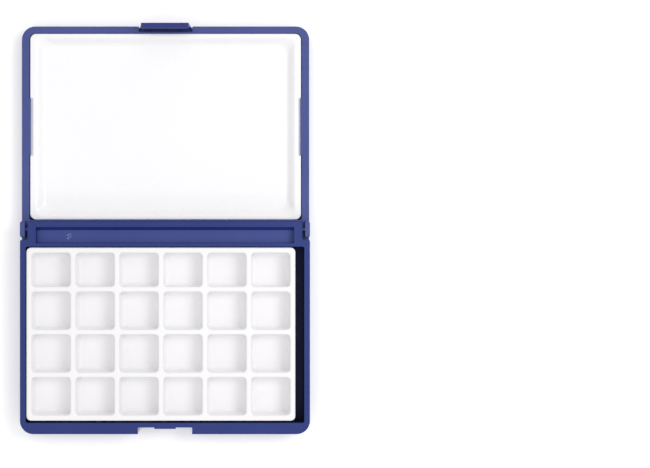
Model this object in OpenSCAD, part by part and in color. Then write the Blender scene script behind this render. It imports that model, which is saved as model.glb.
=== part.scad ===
// Folding mixing palette: a shallow base with a lift-out tray of wells and a brush trough, and a
// lid that folds right back and lies flat, with a mixing tray in it and a swing latch at its front.
// The case is drawn open. The origin is on the table under the middle of the hinge axis, with the
// base towards -Y and the open lid towards +Y.

/* [Case] */
// Width of the case
case_w = 235; // [190:1:290]
// Depth from the hinge axis to the front edge
case_d = 166; // [130:1:210]
// Height of the base, underside to rim
base_h = 20; // [18:0.5:28]
// Height of the lid, rim to outer face
lid_h = 12; // [10:0.5:14.5]
// How far the lid reaches behind the hinge axis
rear_over = 12; // [10.5:0.5:13]
// Gap between the base rim and the rim of the closed lid
rim_gap = 0.3; // [0.1:0.1:0.8]
// Plan radius of the front corners
corner_r = 10.8; // [7:0.2:14]
// Plan radius of the lid's rear corners
rear_corner_r = 2.5; // [1:0.5:4]
// Radius of the rolled front edge of the lid
front_roll_r = 8; // [4:0.5:8]

/* [Base] */
// Thickness of the base floor
base_floor_t = 2; // [1.2:0.1:3]
// Width of the side rims
side_rim_w = 4.5; // [3:0.1:7]
// Width of the front rim
front_rim_w = 9.1; // [8:0.1:13]
// Wall round the hollow under the front rim
front_wall_t = 2.6; // [1.6:0.1:2.8]
// Inside radius of the base cavity
cavity_r = 1.5; // [1:0.5:8]
// Wall between the wells and the brush trough
partition_t = 1.6; // [1.2:0.1:2.4]
// Thickness of that wall where it is the side of the trough
partition_top_t = 2.6; // [2:0.1:4]
// Radius of the upright edges at the rear of the base
base_edge_r = 1.5; // [0.5:0.5:2]

/* [Brush trough] */
// Thickness of the trough floor
trough_floor_t = 1.6; // [1.2:0.1:2]
// Thickness of the trough's rear wall at its top
trough_rear_t = 4.4; // [3:0.2:6]
// How far the rear wall stands behind the hinge axis
trough_back = 6.3; // [5:0.1:7]
// How far the rear wall slopes in towards the floor
trough_slope = 2.5; // [0:0.5:4]
// Thickness of the block at each end of the trough
end_block_t = 6.6; // [5:0.2:12]

/* [Hinge] */
// Diameter of the steel hinge pins
pin_d = 2.4; // [1.6:0.1:3]
// Radial clearance round a pin in the lid's ear
pin_clear = 0.05; // [0.02:0.01:0.1]
// Radial clearance round a pin in the base
pin_grip = 0.01; // [0.01:0.01:0.02]
// Thickness of the lid's ears
ear_t = 3.8; // [2.4:0.1:4.5]
// Length of the ears
ear_l = 13.4; // [10:0.2:14.4]
// How far the ears reach beyond the pins
ear_past = 4.3; // [3.5:0.1:5]
// Corner radius of the ears, seen from the side
ear_corner_r = 2.5; // [1.5:0.1:3.5]
// Radius of the ears' outer edges, seen from above
ear_edge_r = 1.8; // [0.5:0.1:2.5]
// Width of the slot between an ear and the base
slot_w = 2.4; // [1.5:0.1:5]
// Wall of the boss round a pin in that slot
boss_wall = 0.8; // [0.8:0.1:1.4]
// Gap at the face and at the edge of an ear
ear_face_gap = 0.3; // [0.2:0.1:0.6]
// Gap between the ears and the ends of the side rims
ear_edge_gap = 1.4; // [0.6:0.1:3]

/* [Lid] */
// Width of the lid rim at its sides
lid_rim_w = 6; // [4.8:0.1:8]
// Width of the lid rim at the front
lid_front_w = 5.4; // [5:0.1:8]
// Thickness of the lid's outer face
lid_face_t = 1.8; // [1.2:0.1:2.4]
// Inside radius of the lid's corners
lid_inner_r = 5.4; // [3:0.2:8]
// Thickness of the lip behind the hinge axis
lip_t = 1.8; // [1.2:0.1:2.2]
// Thickness of the wall behind the mixing tray
stop_wall_t = 1.2; // [1:0.1:2]
// Length of the two side catches of the mixing tray
catch_l = 46.6; // [20:1:70]
// Middle of the side catches, from the hinge axis
catch_y = 84; // [60:1:100]
// How far a catch stands over the edge of the mixing tray
catch_hold = 0.6; // [0.4:0.1:1]
// Thickness of a catch
catch_t = 1; // [0.8:0.1:1.6]

/* [Trays] */
// Number of wells side by side
well_cols = 6; // [4:1:7]
// Number of rows of wells
well_rows = 4; // [3:1:5]
// Width of the ribs between wells
rib_w = 4; // [3:0.1:6]
// Border of the well tray at its sides
tray_border_x = 4.2; // [3:0.1:8]
// Border of the well tray at the rear
tray_border_rear = 4.4; // [3:0.1:8]
// Border of the well tray at the front
tray_border_front = 4.6; // [3:0.1:8]
// How much shorter the rear row of wells is
rear_row_cut = 3.2; // [0:0.2:8]
// Corner radius of a well
well_r = 3; // [1:0.5:6]
// Outside corner radius of the well tray
tray_r = 4; // [2:0.5:5]
// Thickness of the well floors
well_floor_t = 1.4; // [1:0.1:2.5]
// Thickness of the well walls
well_wall_t = 1.2; // [0.8:0.1:1.3]
// Thickness of the well tray's top deck
deck_t = 1.4; // [1:0.1:2.5]
// Space under the well floors
well_stand = 1.4; // [0.6:0.1:3]
// Thickness of the skirts that the two trays stand on
skirt_t = 1.6; // [1.2:0.1:2.4]
// Free width beside the well tray for a finger
finger_gap = 7.2; // [3:0.1:15]
// Gap between the well tray and the other side wall
tray_side_gap = 0.3; // [0.2:0.1:1]
// Gap behind the well tray
tray_rear_gap = 0.7; // [0.3:0.1:2]
// Gap in front of the well tray
tray_front_gap = 1.4; // [0.3:0.1:3]
// Depth of the well tray's top below the base rim
tray_drop = 1; // [0.5:0.1:3]
// Gap under a tray that sits on a floor
seat_gap = 0.1; // [0.05:0.05:0.3]
// Depth of the mixing tray's rim below the lid rim
mix_drop = 0.8; // [0.5:0.1:2]
// Depth of the mixing dish
mix_depth = 5.4; // [3:0.1:6.5]
// Gap at the sides of the mixing tray
mix_side_gap = 0.5; // [0.4:0.1:2]
// Gap at the two ends of the mixing tray
mix_end_gap = 0.25; // [0.2:0.05:1]
// Width of the mixing tray's flat rim at its sides
mix_rim_w = 4.2; // [3:0.1:6]
// Width of the mixing tray's flat rim at its two ends
mix_rim_end_w = 1.6; // [1.4:0.1:4]
// Width of the slope from the rim to the dish floor
mix_slope = 8; // [2:0.5:12]
// Corner radius of the mixing tray
mix_r = 5; // [3:0.2:8]

/* [Latch] */
// Width of the latch
latch_w = 42; // [30:1:60]
// Gap at each end of the latch in its notch
latch_end_gap = 1; // [0.5:0.1:2]
// Depth of the notch in the base front
notch_d = 5.4; // [4.8:0.1:6]
// Depth of the matching pocket in the lid front
pocket_d = 4.2; // [4:0.1:4.4]
// Thickness of the latch plate
latch_t = 2.2; // [1.8:0.1:2.6]
// Radius of the latch's barrel
barrel_r = 1.9; // [1.7:0.1:1.9]
// Diameter of the studs that the latch swings on
stud_d = 2.4; // [1.8:0.1:2.8]
// Length of each stud
stud_l = 3; // [2:0.1:5]
// Distance from the latch's swing axis to its hooked edge
latch_reach = 13; // [10:0.5:16]
// How much narrower each side of the latch is at its hooked edge
latch_taper = 1.8; // [0.5:0.1:4]
// Radius of the rounded hooked edge
hook_r = 2.3; // [2.1:0.1:2.4]
// Clearance round the closed latch
latch_clear = 0.2; // [0.1:0.05:0.4]
// How far the latch stands open at rest, in degrees
latch_ease = 6; // [4:1:20]
// Length of the catch ridge
ridge_l = 17.4; // [8:0.2:36]
// How far the catch ridge stands out
ridge_out = 1.3; // [0.9:0.1:1.6]

/* [Hidden] */
$fn = 64;

case_blue = "#2b3a8c";
tray_white = "#f4f2f3";
pin_steel = "#b9bdc2";

// A margin by which cuts run past the faces they open
past = 1;

// Case: the pins are midway up, so that the lid folds over and lies flat
half_w = case_w / 2;
case_h = base_h + lid_h;
pin_z = case_h / 2;
lid_rim_z = base_h + rim_gap;
front_y = -case_d;

// Base: its rear steps up over the lid's lip when the case is open
swing_gap = 0.4;
tub_rear_y = -(rear_over + swing_gap);
cavity_half_w = half_w - side_rim_w;
cavity_rear_y = tub_rear_y - partition_t;
cavity_front_y = front_y + front_rim_w;
under_gap = 0.6;
trough_under_z = lid_h + under_gap;
trough_floor_z = trough_under_z + trough_floor_t;
trough_front_y = cavity_rear_y + partition_top_t;
trough_rear_y = trough_back - trough_rear_t;
trough_draft = 0.4;
ear_r = norm([ear_l / 2 - ear_corner_r, ear_past - ear_corner_r]) + ear_corner_r;
side_end_y = -(ear_r + ear_edge_gap);
shoulder_x = half_w - ear_t - slot_w;
trough_half_l = shoulder_x - end_block_t;
boss_l = slot_w - ear_face_gap;
shoulder_gap = 0.6;

// Hinge pins run from the end block to just inside the ear's outer face
pin_recess = 0.2;
pin_end_wall = 1.6;
pin_inner_x = trough_half_l + pin_end_wall;
pin_outer_x = half_w - pin_recess;
pin_chamfer = 0.3;

// Lid, in its closed place
stop_wall_y = trough_back + 0.25;
mix_rear = stop_wall_y + stop_wall_t + mix_end_gap;
mix_front = case_d - lid_front_w - mix_end_gap;
mix_half_w = half_w - lid_rim_w - mix_side_gap;
mix_rim_z = lid_rim_z + mix_drop;
mix_seat_z = case_h - lid_face_t - seat_gap;
mix_floor_z = mix_rim_z + mix_depth;
mix_floor_t = skirt_t;
catch_in = mix_side_gap + catch_hold;
catch_gap = 0.3;
catch_step = 1.8;

// Well tray
tray_x0 = -cavity_half_w + tray_side_gap;
tray_x1 = cavity_half_w - finger_gap;
tray_y1 = cavity_rear_y - tray_rear_gap;
tray_y0 = cavity_front_y + tray_front_gap;
tray_top_z = base_h - tray_drop;
tray_seat_z = base_floor_t + seat_gap;
well_floor_z = tray_seat_z + well_stand + well_floor_t;
well_w = (tray_x1 - tray_x0 - 2 * tray_border_x - (well_cols - 1) * rib_w) / well_cols;
well_l = (tray_y1 - tray_y0 - tray_border_rear - tray_border_front
          - (well_rows - 1) * rib_w + rear_row_cut) / well_rows;

// Latch, in its closed place: the barrel just clears the back of the pocket
notch_half_w = latch_w / 2 + latch_end_gap;
latch_y = -(case_d - pocket_d + barrel_r + latch_clear);
latch_z = lid_rim_z + barrel_r + 1.8;
pocket_top_z = latch_z + barrel_r + 2 * latch_clear;
latch_end_z = latch_z - latch_reach + hook_r;
hook_z = latch_end_z - hook_r;
hook_y = latch_y - barrel_r + hook_r;
ridge_z = hook_z + hook_r - latch_clear;
notch_y = front_y + notch_d;
channel_end_x = notch_half_w + front_wall_t;

// Rectangle with one radius at its two low-Y corners and another at its two high-Y corners
module round_rect(x0, y0, x1, y1, r_low, r_high) {
    translate([x0, y0 + r_low]) square([x1 - x0, y1 - y0 - r_low - r_high]);
    translate([x0 + r_low, y0]) square([x1 - x0 - 2 * r_low, 2 * r_low]);
    translate([x0 + r_high, y1 - 2 * r_high]) square([x1 - x0 - 2 * r_high, 2 * r_high]);
    for (x = [x0 + r_low, x1 - r_low]) translate([x, y0 + r_low]) circle(r_low);
    for (x = [x0 + r_high, x1 - r_high]) translate([x, y1 - r_high]) circle(r_high);
}

// Carries an outline drawn in Y and Z along X, from -half_l to half_l
module along_x(half_l) {
    rotate([90, 0, 90]) translate([0, 0, -half_l]) linear_extrude(2 * half_l) children();
}

// Round bar along X from x0 to x1, at one height and depth
module bar_x(x0, x1, y, z, r) {
    translate([x0, y, z]) rotate([0, 90, 0]) cylinder(h = x1 - x0, r = r);
}

// Folds a piece from its closed place, turned half round the hinge pins
module folded_open() {
    translate([0, 0, pin_z]) rotate([180, 0, 0]) translate([0, 0, -pin_z]) children();
}

module trough_section() {
    polygon([[trough_front_y + trough_draft, trough_floor_z],
             [trough_rear_y - trough_slope, trough_floor_z],
             [trough_rear_y, base_h],
             [trough_rear_y, base_h + past],
             [trough_front_y, base_h + past],
             [trough_front_y, base_h]]);
}

module ridge_section() {
    polygon([[notch_y + past, ridge_z],
             [notch_y, ridge_z],
             [notch_y - ridge_out, ridge_z + ridge_out / 2],
             [notch_y - ridge_out, base_h - ridge_out / 2],
             [notch_y - ridge_out / 2, base_h],
             [notch_y + past, base_h]]);
}

module base_blank() {
    linear_extrude(base_h) round_rect(-half_w, front_y, half_w, tub_rear_y, corner_r, base_edge_r);
    translate([0, 0, trough_under_z]) linear_extrude(base_h - trough_under_z) {
        round_rect(-half_w, cavity_rear_y - corner_r, half_w, side_end_y, base_edge_r, base_edge_r);
        round_rect(-shoulder_x, cavity_rear_y, shoulder_x, trough_back, base_edge_r, base_edge_r);
    }
    for (side = [0, 1]) mirror([side, 0, 0])
        bar_x(shoulder_x - past, shoulder_x + boss_l, 0, pin_z, pin_d / 2 + boss_wall);
}

module front_channels() {
    for (side = [0, 1]) mirror([side, 0, 0])
        translate([channel_end_x, front_y + front_wall_t, -past])
            cube([half_w - corner_r - channel_end_x, front_rim_w - 2 * front_wall_t,
                  base_h - front_wall_t + past]);
}

module base_shell() {
    color(case_blue) {
        difference() {
            base_blank();
            translate([0, 0, base_floor_t]) linear_extrude(base_h)
                round_rect(-cavity_half_w, cavity_front_y, cavity_half_w, cavity_rear_y,
                           cavity_r, cavity_r);
            along_x(trough_half_l) trough_section();
            translate([-notch_half_w, front_y - past, -past])
                cube([2 * notch_half_w, notch_d + past, base_h + 2 * past]);
            front_channels();
            for (side = [0, 1]) mirror([side, 0, 0])
                bar_x(pin_inner_x, half_w, 0, pin_z, pin_d / 2 + pin_grip);
        }
        along_x(ridge_l / 2) ridge_section();
    }
}

module lid_side_outline() {
    translate([front_y + front_roll_r, lid_rim_z])
        square([case_d - front_roll_r, case_h - lid_rim_z]);
    intersection() {
        union() {
            translate([front_y, lid_rim_z])
                square([2 * front_roll_r, case_h - front_roll_r - lid_rim_z]);
            translate([front_y + front_roll_r, case_h - front_roll_r]) circle(front_roll_r);
        }
        translate([front_y, lid_rim_z]) square([2 * front_roll_r, lid_h]);
    }
    intersection() {
        translate([0, pin_z]) circle(pin_z);
        translate([-past, lid_rim_z]) square([rear_over + past, lid_h]);
    }
}

module lid_blank() {
    intersection() {
        along_x(half_w) lid_side_outline();
        translate([0, 0, lid_rim_z]) linear_extrude(lid_h)
            round_rect(-half_w, front_y, half_w, rear_over, corner_r, rear_corner_r);
    }
}

// Hollow behind the stop wall, concentric with the rolled rear edge
module lid_rear_hollow() {
    intersection() {
        along_x(shoulder_x + shoulder_gap) translate([0, pin_z]) circle(pin_z - lip_t);
        translate([-half_w, -stop_wall_y, lid_rim_z - past])
            cube([case_w, stop_wall_y + rear_over - lip_t, case_h - lid_face_t - lid_rim_z + past]);
    }
}

module ear() {
    intersection() {
        translate([half_w - ear_t, 0, 0]) rotate([90, 0, 90]) linear_extrude(ear_t)
            round_rect(-ear_l / 2, pin_z - ear_past, ear_l / 2, lid_rim_z + past,
                       ear_corner_r, past);
        linear_extrude(case_h)
            round_rect(half_w - case_w / 4, -ear_l / 2, half_w, ear_l / 2, ear_edge_r, ear_edge_r);
    }
}

module lid_shell() {
    rim_half_w = half_w - lid_rim_w;
    color(case_blue) folded_open() {
        difference() {
            union() {
                lid_blank();
                for (side = [0, 1]) mirror([side, 0, 0]) ear();
            }
            translate([0, 0, lid_rim_z - past]) linear_extrude(lid_h - rim_gap - lid_face_t + past)
                round_rect(-rim_half_w, front_y + lid_front_w, rim_half_w,
                           -(stop_wall_y + stop_wall_t), lid_inner_r, base_edge_r);
            lid_rear_hollow();
            translate([-notch_half_w, front_y - past, lid_rim_z - past])
                cube([2 * notch_half_w, pocket_d + past, pocket_top_z - lid_rim_z + past]);
            bar_x(-notch_half_w - stud_l, notch_half_w + stud_l, latch_y, latch_z,
                  stud_d / 2 + pin_clear);
            for (side = [0, 1]) mirror([side, 0, 0])
                bar_x(shoulder_x, half_w + past, 0, pin_z, pin_d / 2 + pin_clear);
        }
        for (side = [0, 1]) mirror([side, 0, 0])
            translate([rim_half_w - catch_in, -catch_y - catch_l / 2, lid_rim_z])
                cube([catch_in + past, catch_l, catch_t]);
    }
}

// Outline of one well, drawn larger by a margin: columns count from the left, rows from the front
module well_outline(column, row, margin) {
    x = tray_x0 + tray_border_x + column * (well_w + rib_w);
    y = tray_y0 + tray_border_front + row * (well_l + rib_w);
    length = row == well_rows - 1 ? well_l - rear_row_cut : well_l;
    round_rect(x - margin, y - margin, x + well_w + margin, y + length + margin,
               well_r + margin, well_r + margin);
}

// Top deck with a skirt round it, which the wells hang from as separate cups
module tray_deck() {
    difference() {
        translate([0, 0, tray_seat_z]) linear_extrude(tray_top_z - tray_seat_z)
            round_rect(tray_x0, tray_y0, tray_x1, tray_y1, tray_r, tray_r);
        translate([tray_x0 + skirt_t, tray_y0 + skirt_t, tray_seat_z - past])
            cube([tray_x1 - tray_x0 - 2 * skirt_t, tray_y1 - tray_y0 - 2 * skirt_t,
                  tray_top_z - deck_t - tray_seat_z + past]);
    }
}

module well_tray() {
    cup_z = well_floor_z - well_floor_t;
    color(tray_white) difference() {
        union() {
            tray_deck();
            for (column = [0 : well_cols - 1], row = [0 : well_rows - 1])
                translate([0, 0, cup_z]) linear_extrude(tray_top_z - deck_t / 2 - cup_z)
                    well_outline(column, row, well_wall_t);
        }
        for (column = [0 : well_cols - 1], row = [0 : well_rows - 1])
            translate([0, 0, well_floor_z]) linear_extrude(base_h)
                well_outline(column, row, 0);
    }
}

// The mixing dish: its four sides slope in from the rim to the floor
module mix_dish() {
    rim_half_w = mix_half_w - mix_rim_w;
    rim_y0 = -mix_front + mix_rim_end_w;
    rim_y1 = -mix_rear - mix_rim_end_w;
    intersection() {
        translate([0, 0, mix_rim_z - past]) linear_extrude(mix_depth + past)
            round_rect(-rim_half_w, rim_y0, rim_half_w, rim_y1, mix_r, mix_r);
        along_x(half_w) polygon([[rim_y0, mix_rim_z - past], [rim_y1, mix_rim_z - past],
                                 [rim_y1, mix_rim_z], [rim_y1 - mix_slope, mix_floor_z],
                                 [rim_y0 + mix_slope, mix_floor_z], [rim_y0, mix_rim_z]]);
        translate([0, -mix_rear, 0]) rotate([90, 0, 0]) linear_extrude(mix_front - mix_rear)
            polygon([[-rim_half_w, mix_rim_z - past], [rim_half_w, mix_rim_z - past],
                     [rim_half_w, mix_rim_z], [rim_half_w - mix_slope, mix_floor_z],
                     [-rim_half_w + mix_slope, mix_floor_z], [-rim_half_w, mix_rim_z]]);
    }
}

module mixing_tray() {
    step_x = mix_half_w - catch_hold - catch_step;
    color(tray_white) folded_open() difference() {
        translate([0, 0, mix_rim_z]) linear_extrude(mix_seat_z - mix_rim_z)
            round_rect(-mix_half_w, -mix_front, mix_half_w, -mix_rear, mix_r, mix_r);
        mix_dish();
        translate([-mix_half_w + skirt_t, -mix_front + skirt_t, mix_floor_z + mix_floor_t])
            cube([2 * (mix_half_w - skirt_t), mix_front - mix_rear - 2 * skirt_t, lid_h]);
        for (side = [0, 1]) mirror([side, 0, 0])
            translate([step_x, -catch_y - catch_l / 2 - catch_gap, mix_rim_z - past])
                cube([catch_hold + catch_step + past, catch_l + 2 * catch_gap,
                      past + catch_t + catch_gap - mix_drop]);
    }
}

module latch_section() {
    translate([latch_y, latch_z]) circle(barrel_r);
    translate([latch_y - barrel_r, hook_z]) square([latch_t, latch_z - hook_z]);
    translate([hook_y, hook_z]) circle(hook_r);
}

// Outline of the latch seen from the front, drawn in X and Z
module latch_outline() {
    w = latch_w / 2;
    polygon([[-w, latch_z + barrel_r + past], [w, latch_z + barrel_r + past],
             [w, latch_z - barrel_r], [w - latch_taper, hook_z], [w - latch_taper, hook_z - past],
             [-w + latch_taper, hook_z - past], [-w + latch_taper, hook_z],
             [-w, latch_z - barrel_r]]);
}

module latch() {
    color(case_blue) folded_open()
        translate([0, latch_y, latch_z]) rotate([-latch_ease, 0, 0])
            translate([0, -latch_y, -latch_z]) {
                intersection() {
                    along_x(latch_w / 2) latch_section();
                    translate([0, latch_y + barrel_r + past, 0]) rotate([90, 0, 0])
                        linear_extrude(2 * (barrel_r + hook_r + past)) latch_outline();
                }
                bar_x(-notch_half_w + ear_face_gap, notch_half_w - ear_face_gap,
                      latch_y, latch_z, barrel_r);
                bar_x(-notch_half_w - stud_l + ear_face_gap, notch_half_w + stud_l - ear_face_gap,
                      latch_y, latch_z, stud_d / 2);
            }
}

module hinge_pin() {
    r = pin_d / 2;
    color(pin_steel) translate([0, 0, pin_z]) rotate([0, 90, 0]) {
        translate([0, 0, pin_inner_x]) cylinder(h = pin_chamfer, r1 = r - pin_chamfer, r2 = r);
        translate([0, 0, pin_inner_x + pin_chamfer])
            cylinder(h = pin_outer_x - pin_inner_x - 2 * pin_chamfer, r = r);
        translate([0, 0, pin_outer_x - pin_chamfer])
            cylinder(h = pin_chamfer, r1 = r, r2 = r - pin_chamfer);
    }
}

module hinge_pin_left() { mirror([1, 0, 0]) hinge_pin(); }

module hinge_pin_right() { hinge_pin(); }

base_shell();
lid_shell();
well_tray();
mixing_tray();
latch();
hinge_pin_left();
hinge_pin_right();
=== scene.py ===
import math

import bmesh
import bpy
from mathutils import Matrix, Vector


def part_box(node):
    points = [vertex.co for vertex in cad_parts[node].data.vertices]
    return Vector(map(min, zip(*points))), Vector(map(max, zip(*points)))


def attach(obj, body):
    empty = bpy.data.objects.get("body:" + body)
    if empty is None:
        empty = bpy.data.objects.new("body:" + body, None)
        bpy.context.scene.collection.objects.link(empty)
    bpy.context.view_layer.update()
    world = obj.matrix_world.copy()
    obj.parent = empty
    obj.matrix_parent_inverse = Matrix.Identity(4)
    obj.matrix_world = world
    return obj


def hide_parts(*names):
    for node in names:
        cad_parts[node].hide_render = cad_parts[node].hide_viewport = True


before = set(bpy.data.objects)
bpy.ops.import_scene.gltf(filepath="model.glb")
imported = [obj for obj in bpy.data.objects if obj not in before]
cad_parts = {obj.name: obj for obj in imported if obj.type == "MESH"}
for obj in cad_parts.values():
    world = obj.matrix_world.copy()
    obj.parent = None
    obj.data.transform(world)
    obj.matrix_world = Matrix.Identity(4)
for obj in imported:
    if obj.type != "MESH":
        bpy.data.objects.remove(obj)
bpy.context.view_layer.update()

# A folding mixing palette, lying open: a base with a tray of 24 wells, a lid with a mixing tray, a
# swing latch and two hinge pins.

MM = 0.001

# ---------------------------------------------------------------- measures, in millimetres
# Each repeats a named size or place of the CAD model, or shapes a detail of the visual mesh. The
# rest is worked out from the frame's boxes.
# Every round has a radius and a number of steps.
CORNER_STEPS = 8          # in a corner seen from above

# Well tray
WELL_COLUMNS, WELL_ROWS = 6, 4
RIB = 4.0                 # between wells
BORDER_SIDE, BORDER_REAR, BORDER_FRONT = 4.2, 4.4, 4.6     # from the outer wells to the tray's edge
REAR_ROW_CUT = 3.2        # the rear row of wells is shorter
WELL_CORNER = 3.0
WELL_CORNER_LEAST = 0.9   # corner radius at the floor
WELL_CORNER_LOSS = 0.55   # how much of it goes for each unit that a wall has come in
WELL_DEPTH = 14.1
WELL_RIM_ROUND, WELL_RIM_STEPS = 1.0, 4
WELL_DRAFT = 0.7          # how far a wall leans in over its depth
WELL_FLOOR_ROUND, WELL_FLOOR_STEPS = 3.6, 6
WELL_STAND = 1.4          # space under the wells
TRAY_CORNER = 4.0
TRAY_EDGE_ROUND, TRAY_EDGE_STEPS = 0.9, 4
TRAY_WELD = 0.01          # points of neighbouring wells' decks closer than this become one
SKIRT = 1.6               # wall that a tray stands on
FOOT_BREAK = 0.3          # broken edges of a skirt's foot

# Mixing tray
MIX_CORNER = 5.0
MIX_RIM_SIDE, MIX_RIM_END = 4.2, 1.6      # from the tray's edge to where its dish begins
MIX_SLOPE, MIX_SLOPE_STEPS = 8.0, 14      # from there to the flat of the dish
MIX_CORNER_GROWTH = 0.6   # how much rounder the dish gets for each unit down its slope
MIX_DEPTH = 5.4
MIX_FLOOR = 1.6           # thickness under the dish
MIX_EDGE_ROUND, MIX_EDGE_STEPS = 0.6, 3
MIX_END_FLAT = 1.1        # flat part of the rim at the two ends
MIX_INNER_CORNER = 4.1    # corner radius where the rim's flat part ends
CATCH_MID, CATCH_LENGTH = 84.0, 46.6      # the lid's two side catches, along Y
CATCH_GAP = 0.3           # between a catch and the end of its step
CATCH_STEP_IN = 2.4       # how far in from the tray's edge the step for the catch reaches
CATCH_STEP_DEPTH = 0.5
CATCH_STEP_RISE_X, CATCH_STEP_RISE_Y = 0.25, 0.5   # run of the step's sloping sides
RING_APART = 0.05         # keeps the step's last two rings apart at the tray's ends
ON_SIDE = 0.01            # a point of a ring this close to its side lies on it

# Case
CASE_EDGE_ROUND, LATCH_EDGE_ROUND, EDGE_STEPS = 0.5, 0.4, 3
SHARP_EDGE = 28           # degrees between two faces that make an edge to round
FLAT_EDGE = 0.6           # degrees between two faces that are joined into one
CAD_WELD = 0.005          # points of a CAD mesh closer than this become one
LEAST_EDGE = 0.01         # shorter edges are taken out
NEAR = 0.5                # a face this close to an outer plane belongs to it
CAVITY_FRONT, CAVITY_REAR = -156.9, -14.0     # the base's deep cavity, in Y
FRONT_FACE_DEPTH = 6.0    # the base's notch and front corners lie within this of its front
OUTER_SKIN = 1.5          # faces below this height belong to the outside
RIM_DROP = 0.2            # a face this far below the top isn't part of the rim
LID_ROLL_FROM = -7.0      # the open lid's rolled rear edge lies beyond this, in Y
FACES_UP = 0.95           # the upward part of a floor's normal
LEAN = 0.1                # the least part of a normal that counts as turned that way

# Gate mark on the trough floor: short ridges, each as (turn in degrees, near end, far end)
GATE_PLACE = Vector((-78.7, -5.6, 14.2))
GATE_RIDGES = ((15, 0.3, 2.6), (62, 0.9, 3.2), (108, 0.4, 2.0), (150, 0.9, 2.6),
               (232, 0.2, 3.0), (262, 0.9, 3.4), (318, 0.6, 2.4))
GATE_RIDGE_W, GATE_RIDGE_H = 0.9, 0.45
GATE_RIDGE_SINK = 0.1     # how deep a ridge's foot reaches into the floor
GATE_CREST_START, GATE_CREST_END = 0.4, 0.5        # how far the crest stops short of the ends

# ---------------------------------------------------------------- the view, in metres, and the light
PICTURE_WIDTH = 0.5267            # what the picture takes in, across the top of the base
CAMERA_HEIGHT = 0.85              # above the top of the base
PALETTE_LEFT_OF_MIDDLE = 0.1297   # how far the palette's middle lies left of the picture's
CAMERA_SHIFT = 0.15               # share of the picture's width that the lens, not the place, gives
CAMERA_Y = -0.0038
SENSOR_WIDTH = 36                 # in millimetres, as Blender counts it
FLOOR_HALF_SIZE = 12.0
FLOOR_DROP = 0.0002               # keeps the floor just clear of the palette
HORIZON_LIGHT, OVERHEAD_LIGHT = 0.50, 1.08        # strength of the white surround


def box_mm(node):
    """A node's lowest and highest corners, in millimetres."""
    low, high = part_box(node)
    return Vector(low) / MM, Vector(high) / MM


# ---------------------------------------------------------------- materials
class Nodes:
    """A short way to write a material's node tree."""

    NOISE_LOW, NOISE_HIGH = 0.3, 0.7      # most of a noise texture's values lie between these

    def __init__(self, name):
        self.material = bpy.data.materials.new(name)
        self.material.use_nodes = True
        self.tree = self.material.node_tree
        self.tree.nodes.clear()
        self.output = self.add("ShaderNodeOutputMaterial")
        self.shader = self.add("ShaderNodeBsdfPrincipled")
        self.link(self.shader, "BSDF", self.output, "Surface")
        self.place = self.add("ShaderNodeTexCoord")

    def add(self, kind, **values):
        node = self.tree.nodes.new(kind)
        for key, value in values.items():
            setattr(node, key, value)
        return node

    def link(self, source, out, target, into):
        self.tree.links.new(source.outputs[out], target.inputs[into])

    def noise(self, scale, detail, stretch=(1, 1, 1)):
        """A noise over the piece's own coordinates, each multiplied by its part of stretch."""
        mapping = self.add("ShaderNodeMapping")
        mapping.inputs["Scale"].default_value = stretch
        self.link(self.place, "Object", mapping, "Vector")
        noise = self.add("ShaderNodeTexNoise")
        noise.inputs["Scale"].default_value = scale
        noise.inputs["Detail"].default_value = detail
        self.link(mapping, "Vector", noise, "Vector")
        return noise

    def spread(self, noise, low, high):
        """Carries a noise into the range low to high."""
        scale = self.add("ShaderNodeMapRange")
        scale.inputs["From Min"].default_value = self.NOISE_LOW
        scale.inputs["From Max"].default_value = self.NOISE_HIGH
        scale.inputs["To Min"].default_value = low
        scale.inputs["To Max"].default_value = high
        self.link(noise, "Fac", scale, "Value")
        return scale

    def colour(self, source, out, low, high):
        """Blends the base colour from low to high as the source goes from 0 to 1."""
        mix = self.add("ShaderNodeMix", data_type="RGBA")
        mix.inputs["A"].default_value = (*low, 1)
        mix.inputs["B"].default_value = (*high, 1)
        self.link(source, out, mix, "Factor")
        self.tree.links.new(mix.outputs["Result"], self.shader.inputs["Base Color"])

    def roughness(self, noise, low, high):
        self.link(self.spread(noise, low, high), "Result", self.shader, "Roughness")

    def bump(self, noise, strength, distance):
        bump = self.add("ShaderNodeBump")
        bump.inputs["Strength"].default_value = strength
        bump.inputs["Distance"].default_value = distance
        self.link(noise, "Fac", bump, "Height")
        self.link(bump, "Normal", self.shader, "Normal")

    def set(self, socket, value):
        self.shader.inputs[socket].default_value = value


def blue_plastic(name, colours, roughness, grain, specular):
    """Moulded ultramarine plastic, with slow changes of tint and a fine mould texture. colours and
    roughness are each a lowest and a highest value."""
    m = Nodes(name)
    m.colour(m.spread(m.noise(scale=14, detail=2), 0, 1), "Result", *colours)
    m.roughness(m.noise(scale=60, detail=4), *roughness)
    m.bump(m.noise(scale=2600, detail=2), strength=grain, distance=0.00004)
    m.set("Specular IOR Level", specular)
    m.set("IOR", 1.5)
    return m.material


def white_plastic(name, colours, roughness):
    """White moulded tray plastic with a soft gloss, nearly even in tint and surface."""
    m = Nodes(name)
    m.colour(m.spread(m.noise(scale=9, detail=2), 0, 1), "Result", *colours)
    m.roughness(m.noise(scale=30, detail=2), *roughness)
    m.bump(m.noise(scale=220, detail=2), strength=0.05, distance=0.0001)
    m.set("IOR", 1.49)
    return m.material


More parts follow.
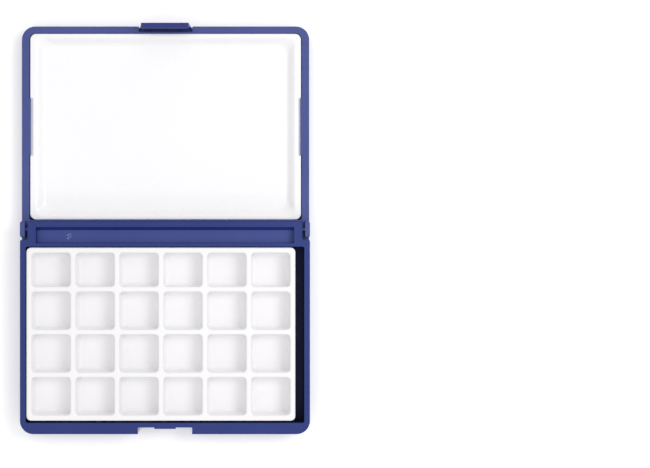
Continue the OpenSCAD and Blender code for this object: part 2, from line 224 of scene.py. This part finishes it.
def pin_steel():
    """Drawn steel: a fine grain, with its gloss in streaks along the pin."""
    m = Nodes("pin_steel")
    m.colour(m.noise(scale=300, detail=3), "Fac", (0.50, 0.50, 0.51), (0.66, 0.66, 0.67))
    m.roughness(m.noise(scale=900, detail=2, stretch=(1, 6, 6)), 0.22, 0.42)
    m.bump(m.noise(scale=2500, detail=2, stretch=(8, 1, 1)), strength=0.2, distance=0.00003)
    m.set("Metallic", 1.0)
    return m.material


def floor_white():
    """A nearly even white that gives a little light of its own, so that the floor stays pale."""
    m = Nodes("floor_white")
    m.colour(m.noise(scale=3, detail=2), "Fac", (0.95, 0.95, 0.95), (0.97, 0.97, 0.97))
    m.set("Roughness", 0.8)
    m.set("Emission Color", (1, 1, 1, 1))
    m.set("Emission Strength", 0.14)
    return m.material


# A darker copy of the case blue, for the base's rim and the trough's sloping walls: painted shade.
CASE_RIM_PAINTED_SHADE = blue_plastic("case_rim_painted_shade", ((0.009, 0.025, 0.165), (0.014, 0.032, 0.190)),
                        (0.32, 0.42), 0.20, 0.38)
# A lighter copy of the case blue, for the upward faces of the trough floor: painted light.
CASE_SATIN_PAINTED_LIGHT = blue_plastic("case_satin_painted_light", ((0.030, 0.052, 0.245), (0.038, 0.063, 0.275)),
                          (0.42, 0.54), 0.30, 0.45)
# A lighter copy of the same blue, for the lid's rim and inside: painted light.
LID_SATIN_PAINTED_LIGHT = blue_plastic("lid_satin_painted_light", ((0.042, 0.061, 0.230), (0.052, 0.073, 0.258)),
                         (0.42, 0.54), 0.30, 0.45)
# A near-black copy of the case blue for the base's deep cavity: painted shade.
CASE_PAINTED_DEEP_SHADE = blue_plastic("case_deep_painted_shade", ((0.007, 0.010, 0.055), (0.009, 0.013, 0.065)),
                         (0.50, 0.62), 0.30, 0.25)
CASE_GLOSS = blue_plastic("case_gloss", ((0.010, 0.016, 0.200), (0.014, 0.022, 0.230)),
                          (0.10, 0.16), 0.04, 0.34)
# A pale blue for the gate mark's ridges: painted glint.
GATE_MARK_PAINTED_GLINT = blue_plastic("gate_mark_painted_glint", ((0.24, 0.27, 0.62), (0.36, 0.39, 0.72)),
                         (0.20, 0.30), 0.20, 0.5)
LATCH_BLUE = blue_plastic("latch_blue", ((0.011, 0.021, 0.170), (0.015, 0.027, 0.195)),
                          (0.20, 0.30), 0.08, 0.42)
WELLS_WHITE = white_plastic("wells_white", ((0.88, 0.87, 0.88), (0.91, 0.90, 0.91)), (0.28, 0.38))
DISH_WHITE = white_plastic("dish_white", ((0.91, 0.90, 0.92), (0.93, 0.92, 0.94)), (0.24, 0.32))
# A greyish lavender for the low steps beside the catches: painted shade with a painted blue
# reflection.
DISH_STEP_PAINTED_SHADE = white_plastic("dish_step_painted_shade", ((0.60, 0.62, 0.72), (0.66, 0.68, 0.77)), (0.36, 0.46))
PIN_STEEL = pin_steel()

BASE_MATERIALS = [CASE_RIM_PAINTED_SHADE, CASE_GLOSS, CASE_SATIN_PAINTED_LIGHT, CASE_PAINTED_DEEP_SHADE, GATE_MARK_PAINTED_GLINT]
LID_MATERIALS = [LID_SATIN_PAINTED_LIGHT, CASE_GLOSS]
MIX_MATERIALS = [DISH_WHITE, DISH_STEP_PAINTED_SHADE]


# ---------------------------------------------------------------- mesh building
def ring(x0, y0, x1, y1, radius, z, side_ys=()):
    """Points round a rounded rectangle, anticlockwise from its low corner, with extra points on
    its two long sides at the given places in Y."""
    points = []
    corners = [(x0 + radius, y0 + radius, 180), (x1 - radius, y0 + radius, 270),
               (x1 - radius, y1 - radius, 0), (x0 + radius, y1 - radius, 90)]
    for index, (cx, cy, start) in enumerate(corners):
        for step in range(CORNER_STEPS + 1):
            angle = math.radians(start + 90 * step / CORNER_STEPS)
            points.append((cx + radius * math.cos(angle), cy + radius * math.sin(angle), z))
        if index == 1:
            points += [(x1, y, z) for y in side_ys]
        if index == 3:
            points += [(x0, y, z) for y in reversed(side_ys)]
    return points


def add_ring(bm, points):
    return [bm.verts.new((x * MM, y * MM, z * MM)) for x, y, z in points]


def bridge(bm, lower, upper):
    """Faces between two rings with the same number of points."""
    following = zip(lower, lower[1:] + lower[:1], upper[1:] + upper[:1], upper)
    return [bm.faces.new(corners) for corners in following]


def quarter(radius, steps):
    """Points (along, down) of a quarter-round of one radius, from the flat into the fall."""
    turns = [math.radians(90 * step / steps) for step in range(steps + 1)]
    return [(radius * math.sin(t), radius * (1 - math.cos(t))) for t in turns]


def piece_from(bm, name, materials, body, node):
    """Makes the object, with smooth shading, hangs it on its body and hides the CAD node it stands
    in for.
    """
    bmesh.ops.recalc_face_normals(bm, faces=bm.faces)
    mesh = bpy.data.meshes.new(name)
    bm.to_mesh(mesh)
    bm.free()
    for polygon in mesh.polygons:
        polygon.use_smooth = True
    piece = bpy.data.objects.new(name, mesh)
    bpy.context.scene.collection.objects.link(piece)
    for material in materials:
        mesh.materials.append(material)
    normals = piece.modifiers.new("even_normals", "WEIGHTED_NORMAL")
    normals.keep_sharp = True
    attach(piece, body)
    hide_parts(node)


# ---------------------------------------------------------------- well tray
def well_profile():
    """Rings of a well as (inset from its mouth, depth): rim, drafted wall and filleted floor."""
    steps = [(along - WELL_RIM_ROUND, down)
             for along, down in quarter(WELL_RIM_ROUND, WELL_RIM_STEPS)]
    fall = WELL_DEPTH - WELL_RIM_ROUND - WELL_FLOOR_ROUND
    steps += [(WELL_DRAFT * share, WELL_RIM_ROUND + fall * share) for share in (0.33, 0.66, 1.0)]
    for turn in range(1, WELL_FLOOR_STEPS + 1):
        angle = math.radians(90 * turn / WELL_FLOOR_STEPS)
        steps.append((WELL_DRAFT + WELL_FLOOR_ROUND * (1 - math.cos(angle)),
                      WELL_DEPTH - WELL_FLOOR_ROUND * (1 - math.sin(angle))))
    return steps


def add_well(bm, x0, y0, x1, y1, top):
    """One well, from the edge of its rim down. Gives the ring of points of its mouth."""
    rings = []
    for inset, depth in well_profile():
        radius = max(WELL_CORNER - inset * WELL_CORNER_LOSS, WELL_CORNER_LEAST)
        rings.append(add_ring(bm, ring(x0 + inset, y0 + inset, x1 - inset, y1 - inset,
                                       radius, top - depth)))
    for upper, lower in zip(rings, rings[1:]):
        bridge(bm, upper, lower)
    bm.faces.new(rings[-1])
    return rings[0]


def deck_corner(corner, side, rounded, start):
    """Points round one corner of a well's share of the deck, as many as round the well's own
    corner, whose arc begins at the angle start. They follow the two straight sides, beginning and
    ending level with side, or the tray's rounded corner."""
    kx, ky = corner
    sx, sy = side
    radius = TRAY_CORNER - TRAY_EDGE_ROUND
    inward_x = 1 if sx > kx else -1
    inward_y = 1 if sy > ky else -1
    begins_along_y = start in (180, 0)
    points = []
    for step in range(CORNER_STEPS + 1):
        share = step / CORNER_STEPS
        from_corner = abs(0.5 - share) * 2
        if rounded:
            angle = math.radians(start + 90 * share)
            points.append((kx + inward_x * radius + radius * math.cos(angle),
                           ky + inward_y * radius + radius * math.sin(angle)))
        elif (share < 0.5) == begins_along_y:
            points.append((kx, ky + (sy - ky) * from_corner))
        else:
            points.append((kx + (sx - kx) * from_corner, ky))
    return points


def add_deck(bm, mouth, well, deck, column, row, top):
    """The flat deck round one well, out to the middle of the ribs or to the tray's edge."""
    x0, y0, x1, y1 = well
    first_column, last_column = column == 0, column == WELL_COLUMNS - 1
    first_row, last_row = row == 0, row == WELL_ROWS - 1
    low_x = deck[0] if first_column else x0 - RIB / 2
    low_y = deck[1] if first_row else y0 - RIB / 2
    high_x = deck[2] if last_column else x1 + RIB / 2
    high_y = deck[3] if last_row else y1 + RIB / 2
    near_x, near_y = x0 + WELL_CORNER, y0 + WELL_CORNER
    far_x, far_y = x1 - WELL_CORNER, y1 - WELL_CORNER
    outline = deck_corner((low_x, low_y), (near_x, near_y), first_column and first_row, 180)
    outline += deck_corner((high_x, low_y), (far_x, near_y), last_column and first_row, 270)
    outline += deck_corner((high_x, high_y), (far_x, far_y), last_column and last_row, 0)
    outline += deck_corner((low_x, high_y), (near_x, far_y), first_column and last_row, 90)
    bridge(bm, add_ring(bm, [(x, y, top) for x, y in outline]), mouth)


def open_loop(bm):
    """The points of the mesh's one open edge, in order."""
    start = next(e for e in bm.edges if e.is_boundary).verts[0]
    loop, last = [start], None
    while True:
        here = loop[-1]
        following = next(e.other_vert(here) for e in here.link_edges
                         if e.is_boundary and e.other_vert(here) != last)
        if following == start:
            return loop
        loop.append(following)
        last = here


def add_skirt(bm, low, high):
    """Round the deck's open edge, down, and up again inside."""
    loop = open_loop(bm)
    edge = TRAY_EDGE_ROUND
    core_low = Vector((low.x + TRAY_CORNER, low.y + TRAY_CORNER))
    core_high = Vector((high.x - TRAY_CORNER, high.y - TRAY_CORNER))

    def moved(vert, out, z):
        """A point of the loop carried outwards across the tray's edge, at a new height."""
        x, y = vert.co.x / MM, vert.co.y / MM
        near = Vector((min(max(x, core_low.x), core_high.x), min(max(y, core_low.y), core_high.y)))
        away = Vector((x, y)) - near
        away.normalize()
        return x + away.x * out, y + away.y * out, z

    steps = [(along, high.z - down) for along, down in quarter(edge, TRAY_EDGE_STEPS)[1:]]
    steps += [(edge, low.z + FOOT_BREAK),
              (edge - FOOT_BREAK, low.z),
              (edge - SKIRT + FOOT_BREAK, low.z),
              (edge - SKIRT, low.z + FOOT_BREAK),
              (edge - SKIRT, low.z + WELL_STAND)]
    previous = loop
    for out, z in steps:
        verts = add_ring(bm, [moved(v, out, z) for v in loop])
        bridge(bm, previous, verts)
        previous = verts
    bm.faces.new(previous)


def build_well_tray():
    """Wells side by side, the deck between them, and a skirt round it all."""
    low, high = box_mm("well_tray")
    width = (high.x - low.x - 2 * BORDER_SIDE - (WELL_COLUMNS - 1) * RIB) / WELL_COLUMNS
    length = (high.y - low.y - BORDER_REAR - BORDER_FRONT - (WELL_ROWS - 1) * RIB
              + REAR_ROW_CUT) / WELL_ROWS
    edge = TRAY_EDGE_ROUND
    deck = (low.x + edge, low.y + edge, high.x - edge, high.y - edge)
    bm = bmesh.new()
    for column in range(WELL_COLUMNS):
        for row in range(WELL_ROWS):
            x0 = low.x + BORDER_SIDE + column * (width + RIB)
            y0 = low.y + BORDER_FRONT + row * (length + RIB)
            cut = REAR_ROW_CUT if row == WELL_ROWS - 1 else 0
            well = (x0, y0, x0 + width, y0 + length - cut)
            mouth = add_well(bm, *well, high.z)
            add_deck(bm, mouth, well, deck, column, row, high.z)
    bmesh.ops.remove_doubles(bm, verts=bm.verts, dist=TRAY_WELD * MM)
    add_skirt(bm, low, high)
    piece_from(bm, "well_tray_moulding", [WELLS_WHITE], "tray", "well_tray")


# ---------------------------------------------------------------- mixing tray
def build_mixing_tray():
    """Skirt, rounded rim with a lower step at each catch, and a dish with soft slopes."""
    low, high = box_mm("mixing_tray")
    top = high.z
    catch_low = CATCH_MID - CATCH_LENGTH / 2 - CATCH_GAP
    catch_high = CATCH_MID + CATCH_LENGTH / 2 + CATCH_GAP
    side_ys = (catch_low - CATCH_STEP_RISE_Y, catch_low, catch_high, catch_high + CATCH_STEP_RISE_Y)
    bm = bmesh.new()

    def mix_ring(inset_x, inset_y, radius, z, stepped=False):
        """A ring round the tray, which is lower beside each catch if it is stepped."""
        side_x = high.x - inset_x
        points = []
        for x, y, height in ring(low.x + inset_x, low.y + inset_y, side_x, high.y - inset_y,
                                 radius, z, side_ys):
            at_catch = catch_low <= y <= catch_high and abs(abs(x) - side_x) < ON_SIDE
            points.append((x, y, height - CATCH_STEP_DEPTH if stepped and at_catch else height))
        return add_ring(bm, points)

    skirt = [(SKIRT, top - MIX_DEPTH - MIX_FLOOR),
             (SKIRT, low.z + FOOT_BREAK),
             (SKIRT - FOOT_BREAK, low.z),
             (FOOT_BREAK, low.z),
             (0, low.z + FOOT_BREAK)]
    rings = [mix_ring(inset, inset, MIX_CORNER - inset, z) for inset, z in skirt]
    for along, down in reversed(quarter(MIX_EDGE_ROUND, MIX_EDGE_STEPS)):
        inset = MIX_EDGE_ROUND - along
        rings.append(mix_ring(inset, inset, MIX_CORNER - inset, top - down, True))
    step_ring = len(rings)
    rings.append(mix_ring(CATCH_STEP_IN, MIX_END_FLAT, MIX_INNER_CORNER, top, True))
    rings.append(mix_ring(CATCH_STEP_IN + CATCH_STEP_RISE_X, MIX_END_FLAT + RING_APART,
                          MIX_INNER_CORNER, top))
    for step in range(MIX_SLOPE_STEPS + 1):
        share = step / MIX_SLOPE_STEPS
        fall = share * share * (3 - 2 * share)
        inset = MIX_SLOPE * share
        rings.append(mix_ring(MIX_RIM_SIDE + inset, MIX_RIM_END + inset,
                              MIX_CORNER + MIX_CORNER_GROWTH * inset, top - MIX_DEPTH * fall))

    bm.faces.new(rings[0])
    step_face_below = (top - CATCH_STEP_DEPTH / 2) * MM
    for index, (lower, upper) in enumerate(zip(rings, rings[1:])):
        for face in bridge(bm, lower, upper):
            # The step's low faces take the greyish lavender: painted shade with a painted blue
            # reflection.
            if index + 1 == step_ring and all(v.co.z < step_face_below for v in face.verts):
                face.material_index = MIX_MATERIALS.index(DISH_STEP_PAINTED_SHADE)
    bm.faces.new(rings[-1])
    piece_from(bm, "mixing_tray_moulding", MIX_MATERIALS, "lid", "mixing_tray")


# ---------------------------------------------------------------- case mouldings from the frame
def rounded_copy(node, name, materials, body, edge_round, finish, relief=None):
    """A copy of a CAD node with its flat faces joined and its sharp edges rounded to one radius.
    finish picks the material of a face, and relief may add small raised marks to the mesh."""
    bm = bmesh.new()
    bm.from_mesh(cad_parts[node].data)
    bmesh.ops.remove_doubles(bm, verts=bm.verts, dist=CAD_WELD * MM)
    bmesh.ops.dissolve_limit(bm, angle_limit=math.radians(FLAT_EDGE),
                             verts=bm.verts, edges=bm.edges)
    bmesh.ops.dissolve_degenerate(bm, edges=bm.edges, dist=LEAST_EDGE * MM)
    for face in bm.faces:
        face.material_index = finish(face.calc_center_median() / MM, face.normal)
    sharp = [e for e in bm.edges if len(e.link_faces) == 2
             and e.calc_face_angle(0) > math.radians(SHARP_EDGE)]
    bmesh.ops.bevel(bm, geom=sharp, offset=edge_round * MM, offset_type="OFFSET",
                    segments=EDGE_STEPS, profile=0.5, affect="EDGES", clamp_overlap=True,
                    harden_normals=False, material=-1)
    if relief:
        relief(bm)
    piece_from(bm, name, materials, body, node)


def base_finish(centre, normal):
    """Gloss outside; the rest are copies of one blue with light and shade painted in: near-black
    painted shade in the deep cavity, a lighter painted light on the upward trough floor, and a
    darker painted shade on the rim and the trough's sloping walls.
    """
    low, high = box_mm("base_shell")
    below_rim = centre.z < high.z - RIM_DROP
    outside = abs(centre.x) > high.x - NEAR or centre.y < low.y + FRONT_FACE_DEPTH
    if outside or centre.z < OUTER_SKIN:
        return BASE_MATERIALS.index(CASE_GLOSS)
    # The deep cavity gets the near-black copy of the blue: painted shade.
    if CAVITY_FRONT - NEAR < centre.y < CAVITY_REAR + NEAR and below_rim:
        return BASE_MATERIALS.index(CASE_PAINTED_DEEP_SHADE)
    # Upward faces of the trough floor get the lighter copy of the blue: painted light.
    if centre.y > CAVITY_REAR and below_rim and normal.z > FACES_UP:
        return BASE_MATERIALS.index(CASE_SATIN_PAINTED_LIGHT)
    # The rim and the trough's sloping walls get the darker copy of the blue: painted shade.
    return BASE_MATERIALS.index(CASE_RIM_PAINTED_SHADE)


def lid_finish(centre, normal):
    """Gloss outside, its rolled rear edge included, and on the rim and inside a lighter satin copy
    of the blue, as painted light.
    """
    high = box_mm("lid_shell")[1]
    rear_roll = centre.y < LID_ROLL_FROM and normal.y < -LEAN and normal.z < LEAN
    inside = (abs(centre.x) < high.x - NEAR and centre.y < high.y - NEAR
              and centre.z > OUTER_SKIN and not rear_roll)
    return LID_MATERIALS.index(LID_SATIN_PAINTED_LIGHT if inside else CASE_GLOSS)


def latch_finish(centre, normal):
    """The latch has one material."""
    return 0


def add_gate_mark(bm):
    """The scar of the injection point: short ridges splayed out on the trough floor, coloured pale
    blue as a painted glint.
    """
    up = Vector((0, 0, GATE_RIDGE_H))
    sink = Vector((0, 0, -GATE_RIDGE_SINK))
    for turn, near, far in GATE_RIDGES:
        along = Vector((math.cos(math.radians(turn)), math.sin(math.radians(turn)), 0))
        across = Vector((-along.y, along.x, 0)) * GATE_RIDGE_W / 2
        start, end = GATE_PLACE + along * near, GATE_PLACE + along * far
        verts = [bm.verts.new(p * MM) for p in
                 (start - across + sink, start + across + sink,
                  end + across + sink, end - across + sink,
                  start + along * GATE_CREST_START + up, end - along * GATE_CREST_END + up)]
        for corners in ((0, 3, 5, 4), (1, 4, 5, 2), (0, 4, 1), (3, 2, 5), (0, 1, 2, 3)):
            face = bm.faces.new([verts[i] for i in corners])
            # The ridges take the pale blue: painted glint.
            face.material_index = BASE_MATERIALS.index(GATE_MARK_PAINTED_GLINT)


def finish_pins():
    """The pins keep their CAD meshes and get the steel."""
    for pin in ("hinge_pin_left", "hinge_pin_right"):
        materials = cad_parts[pin].data.materials
        materials.clear()
        materials.append(PIN_STEEL)


# ---------------------------------------------------------------- floor, light and camera
def build_floor():
    """A plain floor just below the palette."""
    bm = bmesh.new()
    bmesh.ops.create_grid(bm, x_segments=8, y_segments=8, size=FLOOR_HALF_SIZE)
    mesh = bpy.data.meshes.new("floor")
    bm.to_mesh(mesh)
    bm.free()
    mesh.materials.append(floor_white())
    floor = bpy.data.objects.new("floor", mesh)
    floor.location.z = -FLOOR_DROP
    bpy.context.scene.collection.objects.link(floor)


def build_world():
    """A plain white surround that is brighter overhead than at the horizon."""
    world = bpy.data.worlds.new("studio")
    world.use_nodes = True
    nodes, links = world.node_tree.nodes, world.node_tree.links
    background = nodes["Background"]
    background.inputs["Color"].default_value = (1, 1, 1, 1)
    place = nodes.new("ShaderNodeTexCoord")
    height = nodes.new("ShaderNodeSeparateXYZ")
    brightness = nodes.new("ShaderNodeMapRange")
    brightness.inputs["To Min"].default_value = HORIZON_LIGHT
    brightness.inputs["To Max"].default_value = OVERHEAD_LIGHT
    links.new(place.outputs["Generated"], height.inputs["Vector"])
    links.new(height.outputs["Z"], brightness.inputs["Value"])
    links.new(brightness.outputs["Result"], background.inputs["Strength"])
    bpy.context.scene.world = world
    bpy.context.scene.view_settings.view_transform = "Standard"


def area_light(name, place, size, power):
    """A rectangular lamp that points at the hinge."""
    data = bpy.data.lights.new(name, "AREA")
    data.shape = "RECTANGLE"
    data.size, data.size_y = size
    data.energy = power
    light = bpy.data.objects.new(name, data)
    light.location = place
    light.rotation_euler = (-Vector(place)).to_track_quat("-Z", "Y").to_euler()
    bpy.context.scene.collection.objects.link(light)


def build_camera():
    """Straight down on the open palette, which lies to the left of the picture's middle."""
    camera = bpy.data.cameras.new("camera")
    camera.sensor_width = SENSOR_WIDTH
    camera.lens = SENSOR_WIDTH * CAMERA_HEIGHT / PICTURE_WIDTH
    camera.shift_x = CAMERA_SHIFT
    view = bpy.data.objects.new("camera", camera)
    view.location = (PALETTE_LEFT_OF_MIDDLE - CAMERA_SHIFT * PICTURE_WIDTH, CAMERA_Y,
                     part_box("base_shell")[1][2] + CAMERA_HEIGHT)
    bpy.context.scene.collection.objects.link(view)
    bpy.context.scene.camera = view


rounded_copy("base_shell", "base_moulding", BASE_MATERIALS, "base",
             CASE_EDGE_ROUND, base_finish, add_gate_mark)
rounded_copy("lid_shell", "lid_moulding", LID_MATERIALS, "lid",
             CASE_EDGE_ROUND, lid_finish)
rounded_copy("latch", "latch_moulding", [LATCH_BLUE], "latch",
             LATCH_EDGE_ROUND, latch_finish)
build_well_tray()
build_mixing_tray()
finish_pins()
build_floor()
build_world()
area_light("key", place=(0.75, 0.25, 0.95), size=(0.45, 0.45), power=3.6)
area_light("edge_strip", place=(0, -0.95, 0.62), size=(0.7, 0.05), power=0.6)
build_camera()
